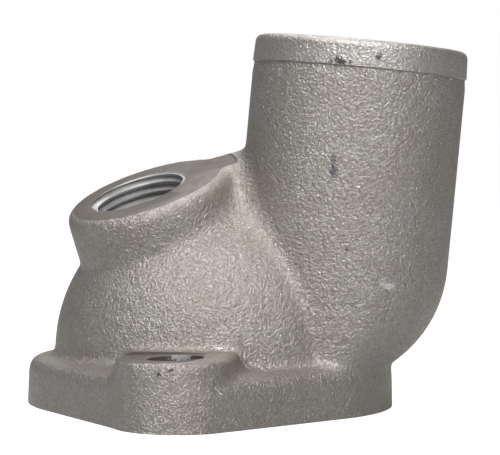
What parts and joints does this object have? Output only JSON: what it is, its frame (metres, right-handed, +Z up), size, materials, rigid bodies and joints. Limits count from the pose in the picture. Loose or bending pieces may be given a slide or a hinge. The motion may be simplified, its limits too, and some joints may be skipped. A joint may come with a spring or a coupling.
{
  "type": "coolant flange",
  "caption": "Cast coolant flange with bolt lobes, a thermostat dome, a slanted threaded port and an upright beaded hose neck.",
  "frame": {"origin": "centre of the machined underside, on the thermostat opening's axis and midway between the bolt holes", "axes": "+Z up from the engine's face through the dome, +Y along the line of the bolt holes, +X towards the hose neck"},
  "size_m": [0.0923, 0.1114, 0.0779],
  "materials": {
    "cast_metal": "bare sand-cast surface with fine grain, faced pads, port face and underside"
  },
  "bodies": {
    "root": {"coolant_flange": "cast_metal"}
  },
  "joints": []
}
